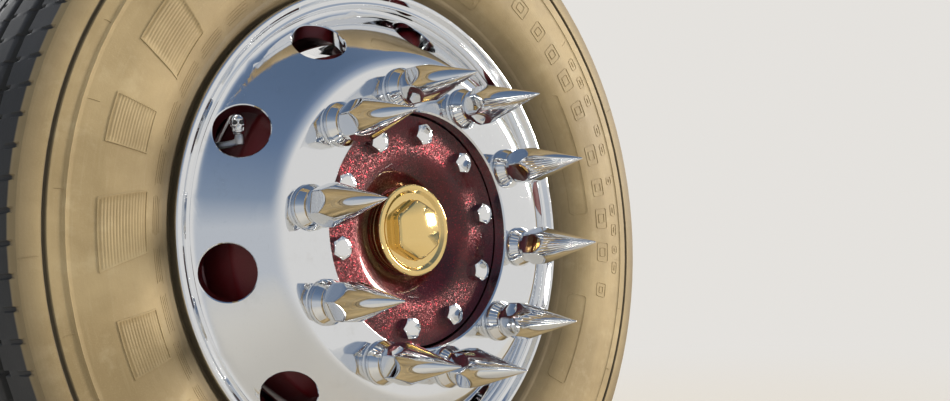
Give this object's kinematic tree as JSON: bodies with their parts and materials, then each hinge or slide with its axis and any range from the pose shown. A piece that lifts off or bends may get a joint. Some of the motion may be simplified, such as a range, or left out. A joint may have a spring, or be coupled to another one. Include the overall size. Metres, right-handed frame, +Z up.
{
  "type": "truck front wheel end",
  "caption": "Steer wheel of a heavy road tractor with tyre, disc wheel, spiked nut covers, hub, drum brake and steering knuckle; the wheel turns freely on its spindle.",
  "frame": {"origin": "middle of the kingpin's axis, between the knuckle's two ears", "axes": "+Z up, -Y outboard along the spindle, -X towards the front of the vehicle"},
  "size_m": [0.95, 0.6188, 0.95],
  "materials": {
    "tyre_rubber": "dusty tan-tinted sidewall, near black tread",
    "polished_aluminium": "mirror polished forged aluminium",
    "chrome": "bright chrome plate",
    "red_flake": "red metal-flake paint under clear coat",
    "polished_brass": "polished",
    "drum_red": "dark red paint, dusty",
    "black_steel": "satin black chassis paint",
    "zinc_steel": "zinc plated"
  },
  "bodies": {
    "knuckle_body": {"knuckle": "black_steel", "kingpin_cap_upper": "black_steel", "kingpin_cap_lower": "black_steel", "steering_arm": "black_steel", "tie_rod_arm": "black_steel", "brake_spider": "black_steel", "dust_shield": "black_steel", "cam_tube": "black_steel", "camshaft": "zinc_steel", "slack_adjuster": "black_steel", "pushrod": "zinc_steel", "clevis_pin": "zinc_steel", "brake_chamber": "black_steel", "chamber_bracket": "black_steel"},
    "wheel_body": {"tyre": "tyre_rubber", "disc_wheel": "polished_aluminium", "hub": "drum_red", "hub_plate": "red_flake", "hub_cap": "polished_brass", "brake_drum": "drum_red", "valve_stem": "zinc_steel", "valve_cap": "chrome", "nut_cover_01": "chrome", "nut_cover_02": "chrome", "nut_cover_03": "chrome", "nut_cover_04": "chrome", "nut_cover_05": "chrome", "nut_cover_06": "chrome", "nut_cover_07": "chrome", "nut_cover_08": "chrome", "nut_cover_09": "chrome", "nut_cover_10": "chrome", "hub_bolt_01": "chrome", "hub_bolt_02": "chrome", "hub_bolt_03": "chrome", "hub_bolt_04": "chrome", "hub_bolt_05": "chrome", "hub_bolt_06": "chrome", "hub_bolt_07": "chrome", "hub_bolt_08": "chrome", "hub_bolt_09": "chrome", "hub_bolt_10": "chrome"}
  },
  "joints": [
    {"name": "wheel_spin", "type": "hinge", "parent": "knuckle_body", "child": "wheel_body", "pos_m": [0, -0.125, 0], "axis": [0, -1, 0], "continuous": true}
  ]
}
